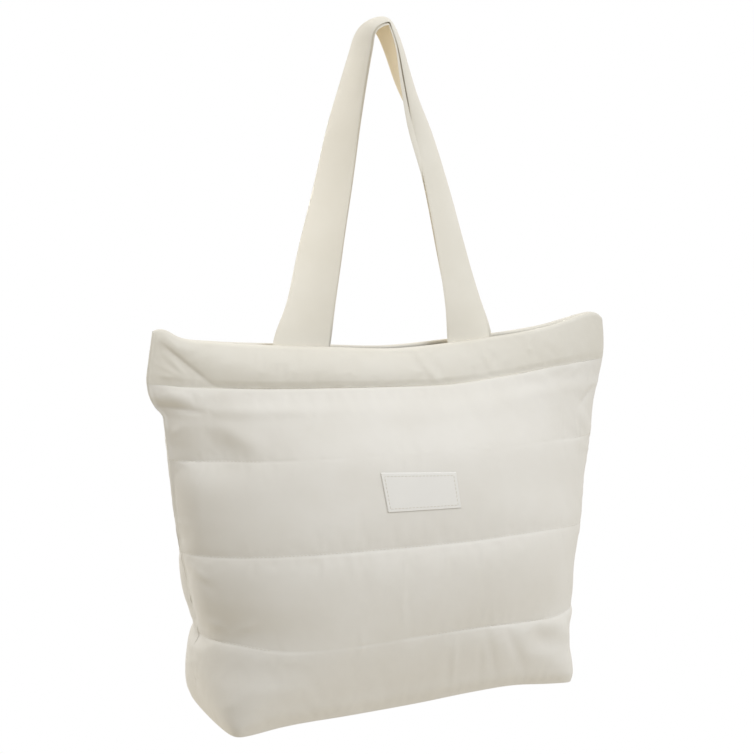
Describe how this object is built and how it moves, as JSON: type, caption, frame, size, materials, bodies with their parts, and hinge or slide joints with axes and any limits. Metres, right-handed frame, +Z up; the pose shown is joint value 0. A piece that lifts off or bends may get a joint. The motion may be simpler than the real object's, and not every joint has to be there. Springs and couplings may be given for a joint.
{
  "type": "quilted tote bag",
  "caption": "Padded nylon tote bag with sewn horizontal baffles, a plain band round its narrow mouth and flat shoulder straps, shown hanging by the straps.",
  "frame": {"origin": "the hang point: the underside of the two nested straps at the top of their loop, where a hook carries the bag", "axes": "+Z up, against the pull of the bag; +X to the right along the bag's width seen from its front; -Y out of the front, which carries the label"},
  "size_m": [0.4777, 0.173, 0.6458],
  "materials": {
    "shell_nylon": "soft satin woven nylon over padding, sewn into horizontal baffles",
    "band_nylon": "soft satin woven nylon over thin padding",
    "strap_nylon": "soft satin folded woven nylon",
    "label_cloth": "plain matte woven label, blank"
  },
  "bodies": {
    "root": {"front_panel": "shell_nylon", "back_panel": "shell_nylon", "base_panel": "shell_nylon", "front_band": "band_nylon", "back_band": "band_nylon", "front_strap": "strap_nylon", "back_strap": "strap_nylon", "label_patch": "label_cloth"}
  },
  "joints": []
}
